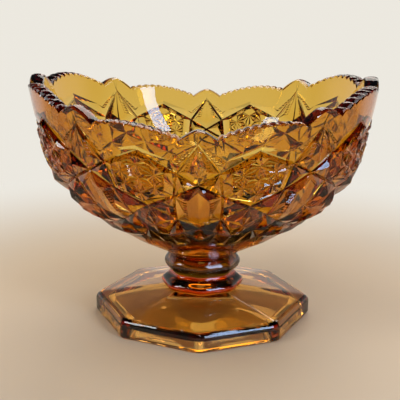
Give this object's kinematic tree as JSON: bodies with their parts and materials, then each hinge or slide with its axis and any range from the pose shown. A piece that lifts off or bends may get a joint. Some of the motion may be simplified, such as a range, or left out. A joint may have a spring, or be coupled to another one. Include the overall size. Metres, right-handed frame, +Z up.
{
  "type": "footed compote bowl",
  "caption": "Oval pressed-glass compote: a deep patterned bowl with a scalloped rim and two raised ends, on a bulging knop and a flat octagonal foot.",
  "frame": {"origin": "centre of the foot's resting face, on the table", "axes": "+Z up through the stem and the bowl; +X along the bowl's longer direction, towards a raised end; +Y across it, towards the back in the picture"},
  "size_m": [0.232, 0.207, 0.1678],
  "materials": {
    "bowl_glass": "clear honey-amber pressed glass, polished",
    "knop_glass": "clear deep amber pressed glass, polished",
    "foot_glass": "clear orange-brown pressed glass, polished"
  },
  "bodies": {
    "root": {"bowl": "bowl_glass", "knop": "knop_glass", "foot": "foot_glass"}
  },
  "joints": []
}
